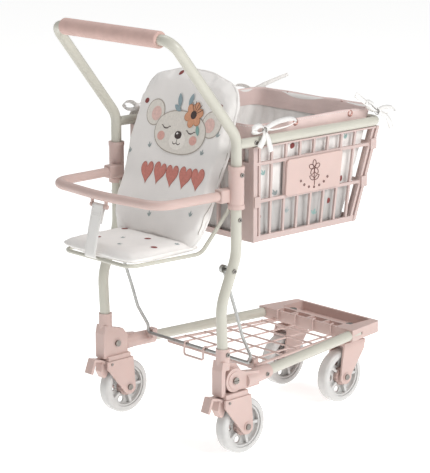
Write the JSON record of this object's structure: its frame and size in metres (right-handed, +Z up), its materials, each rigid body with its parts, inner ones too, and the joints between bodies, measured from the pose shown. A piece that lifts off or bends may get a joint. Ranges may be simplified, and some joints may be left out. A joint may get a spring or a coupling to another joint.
{
  "type": "toy shopping trolley",
  "caption": "Child's toy shopping trolley with bow handle, doll seat with bumper bar, lined crate basket, folding wire-shelf platform, front castors and rear brakes.",
  "frame": {"origin": "centre of the footprint on the floor under the bounding box", "axes": "+X forward from the handle to the front tray, +Y to the left, +Z up"},
  "size_m": [0.5258, 0.3068, 0.6405],
  "materials": {
    "frame_paint": "satin cream powder coat",
    "pink_plastic": "satin moulded plastic, pale pink",
    "pink_crate": "satin moulded plastic, pale pink",
    "grip_foam": "soft moulded sleeve",
    "pink_wire": "pink coated wire",
    "zinc_wire": "zinc plated wire",
    "chrome": "bright plated",
    "wheel_white": "translucent white glossy plastic",
    "fabric_print": "printed woven polyester",
    "fabric_band": "woven polyester"
  },
  "bodies": {
    "frame": {"bail_rivets": "chrome", "basket_floor": "pink_crate", "basket_front": "pink_crate", "basket_liner": "fabric_print", "basket_rear": "pink_crate", "basket_rim": "frame_paint", "basket_side_l": "pink_crate", "basket_side_r": "pink_crate", "brake_pins": "chrome", "bumper_bar": "pink_plastic", "crotch_strap": "fabric_band", "frame_screws": "chrome", "handle_grip": "grip_foam", "handle_tube": "frame_paint", "hinge_bolts": "chrome", "leg_housing_l": "pink_plastic", "leg_housing_r": "pink_plastic", "leg_tube_l": "frame_paint", "leg_tube_r": "frame_paint", "liner_ties": "fabric_band", "name_plate": "pink_plastic", "rear_axles": "chrome", "rear_fork_l": "pink_plastic", "rear_fork_r": "pink_plastic", "rim_stubs": "frame_paint", "seat_back_pad": "fabric_print", "seat_pan_pad": "fabric_print", "seat_wire": "frame_paint", "upper_sleeve_l": "pink_plastic", "upper_sleeve_r": "pink_plastic"},
    "platform": {"front_tray": "pink_plastic", "platform_screws": "chrome", "wire_shelf": "pink_wire", "castor_pins": "chrome", "platform_tube_r": "frame_paint", "platform_socket_r": "pink_plastic", "bail_saddle_r": "pink_plastic", "platform_tube_l": "frame_paint", "platform_socket_l": "pink_plastic", "bail_saddle_l": "pink_plastic"},
    "bail": {"lock_bail": "zinc_wire", "foot_loop": "pink_wire"},
    "brake_r": {"brake_lever_r": "pink_plastic"},
    "rear_wheel_r": {"rear_tyre_r": "wheel_white", "rear_rim_r": "wheel_white", "rear_hub_r": "pink_plastic"},
    "castor_r": {"castor_fork_r": "pink_plastic", "front_axle_r": "chrome"},
    "front_wheel_r": {"front_tyre_r": "wheel_white", "front_rim_r": "wheel_white", "front_hub_r": "pink_plastic"},
    "brake_l": {"brake_lever_l": "pink_plastic"},
    "rear_wheel_l": {"rear_tyre_l": "wheel_white", "rear_rim_l": "wheel_white", "rear_hub_l": "pink_plastic"},
    "castor_l": {"castor_fork_l": "pink_plastic", "front_axle_l": "chrome"},
    "front_wheel_l": {"front_tyre_l": "wheel_white", "front_rim_l": "wheel_white", "front_hub_l": "pink_plastic"}
  },
  "joints": [
    {"name": "platform_fold", "type": "hinge", "parent": "frame", "child": "platform", "pos_m": [-0.10795, 0, 0.118], "axis": [0, -1, 0], "range_deg": [0, 30]},
    {"name": "bail_swing", "type": "hinge", "parent": "frame", "child": "bail", "pos_m": [-0.10795, 0, 0.283], "axis": [0, 1, 0], "range_deg": [0, 30]},
    {"name": "brake_r_press", "type": "hinge", "parent": "frame", "child": "brake_r", "pos_m": [-0.12395, -0.134, 0.087], "axis": [0, -1, 0], "range_deg": [0, 10]},
    {"name": "rear_wheel_r_spin", "type": "hinge", "parent": "frame", "child": "rear_wheel_r", "pos_m": [-0.08755, -0.134, 0.043], "axis": [0, 1, 0], "continuous": true},
    {"name": "castor_r_swivel", "type": "hinge", "parent": "platform", "child": "castor_r", "pos_m": [0.22305, -0.064, 0.1], "axis": [0, 0, 1], "continuous": true},
    {"name": "front_wheel_r_spin", "type": "hinge", "parent": "castor_r", "child": "front_wheel_r", "pos_m": [0.20105, -0.064, 0.043], "axis": [0, 1, 0], "continuous": true},
    {"name": "brake_l_press", "type": "hinge", "parent": "frame", "child": "brake_l", "pos_m": [-0.12395, 0.134, 0.087], "axis": [0, -1, 0], "range_deg": [0, 10]},
    {"name": "rear_wheel_l_spin", "type": "hinge", "parent": "frame", "child": "rear_wheel_l", "pos_m": [-0.08755, 0.134, 0.043], "axis": [0, 1, 0], "continuous": true},
    {"name": "castor_l_swivel", "type": "hinge", "parent": "platform", "child": "castor_l", "pos_m": [0.22305, 0.064, 0.1], "axis": [0, 0, 1], "continuous": true},
    {"name": "front_wheel_l_spin", "type": "hinge", "parent": "castor_l", "child": "front_wheel_l", "pos_m": [0.20105, 0.064, 0.043], "axis": [0, 1, 0], "continuous": true}
  ],
  "couplings": [
    {"joint": "bail_swing", "follows": "platform_fold", "ratio": 1}
  ]
}
